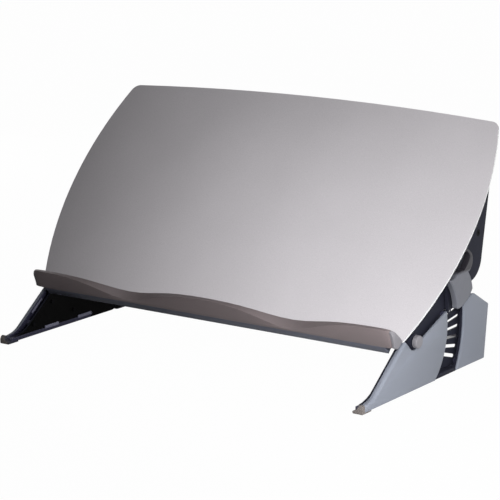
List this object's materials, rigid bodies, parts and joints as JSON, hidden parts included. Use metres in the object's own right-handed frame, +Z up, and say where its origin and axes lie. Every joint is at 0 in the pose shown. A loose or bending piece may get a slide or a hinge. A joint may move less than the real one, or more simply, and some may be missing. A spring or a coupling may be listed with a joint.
{
  "type": "tilting document slope",
  "caption": "Desk-top writing and document slope with a page lip, a tilting cradle on two feet, detent levers and room for a keyboard below.",
  "frame": {"origin": "on the desk surface, under the middle of the object's overall width and depth", "axes": "+X along the tilt axis to the right-hand foot as seen by the user, +Y to the back, +Z up"},
  "size_m": [0.5576, 0.2822, 0.2814],
  "materials": {
    "platform_silver": "satin silver-grey sheet with a fine grain",
    "foot_grey": "satin blue-grey moulded covers",
    "black_steel": "black powder coat",
    "lever_grey": "satin mid grey",
    "lip_brown": "soft dark brown-grey",
    "cap_grey": "satin light grey",
    "carrier_grey": "satin blue-grey",
    "pin_steel": "bright turned steel",
    "screw_steel": "black oxide",
    "runner_nylon": "natural nylon",
    "foot_rubber": "grey-brown rubber"
  },
  "bodies": {
    "base": {"front_cover_left": "foot_grey", "front_cover_right": "foot_grey", "rear_cover_left": "foot_grey", "rear_cover_right": "foot_grey", "rear_core_left": "black_steel", "rear_core_right": "black_steel", "slotted_plate_left": "black_steel", "slotted_plate_right": "black_steel", "toe_left": "foot_rubber", "toe_right": "foot_rubber", "rear_pad_left": "foot_rubber", "rear_pad_right": "foot_rubber", "pivot_pin_left": "pin_steel", "pivot_pin_right": "pin_steel", "pivot_cap_left": "cap_grey", "pivot_cap_right": "cap_grey", "rear_tie_bar": "pin_steel", "tie_bar_screws": "screw_steel", "cover_screws": "screw_steel"},
    "cradle": {"cradle_wall_left": "black_steel", "cradle_wall_right": "black_steel", "front_rail": "black_steel", "middle_rail": "black_steel", "top_rail": "black_steel", "rail_screws": "screw_steel", "cradle_brace": "black_steel", "brace_screws": "screw_steel", "glide_track_left": "black_steel", "glide_track_right": "black_steel", "lever_hinge_pin_left": "pin_steel", "lever_hinge_pin_right": "pin_steel"},
    "platform": {"platform_panel": "platform_silver", "page_lip": "lip_brown", "lip_carrier": "carrier_grey", "glide_runner_left": "runner_nylon", "glide_runner_right": "runner_nylon", "lip_end_cap_left": "cap_grey", "lip_end_cap_right": "cap_grey"},
    "lever_left": {"lever_handle_left": "lever_grey", "lever_arm_left": "black_steel", "pawl_pin_left": "pin_steel"},
    "lever_right": {"lever_handle_right": "lever_grey", "lever_arm_right": "black_steel", "pawl_pin_right": "pin_steel"}
  },
  "joints": [
    {"name": "cradle_tilt", "type": "hinge", "parent": "base", "child": "cradle", "pos_m": [0, -0.03506, 0.057], "axis": [1, 0, 0], "range_deg": [-35.04, 0]},
    {"name": "platform_glide", "type": "slide", "parent": "cradle", "child": "platform", "axis": [0, -0.6704, -0.742], "range_m": [0, 0.008]},
    {"name": "lever_left_turn", "type": "hinge", "parent": "cradle", "child": "lever_left", "pos_m": [-0.25, 0.03992, 0.10696], "axis": [1, 0, 0], "range_deg": [0, 18.28], "stiffness_Nm_per_rad": 0.06},
    {"name": "lever_right_turn", "type": "hinge", "parent": "cradle", "child": "lever_right", "pos_m": [0.25, 0.03992, 0.10696], "axis": [1, 0, 0], "range_deg": [0, 18.28], "stiffness_Nm_per_rad": 0.06}
  ]
}
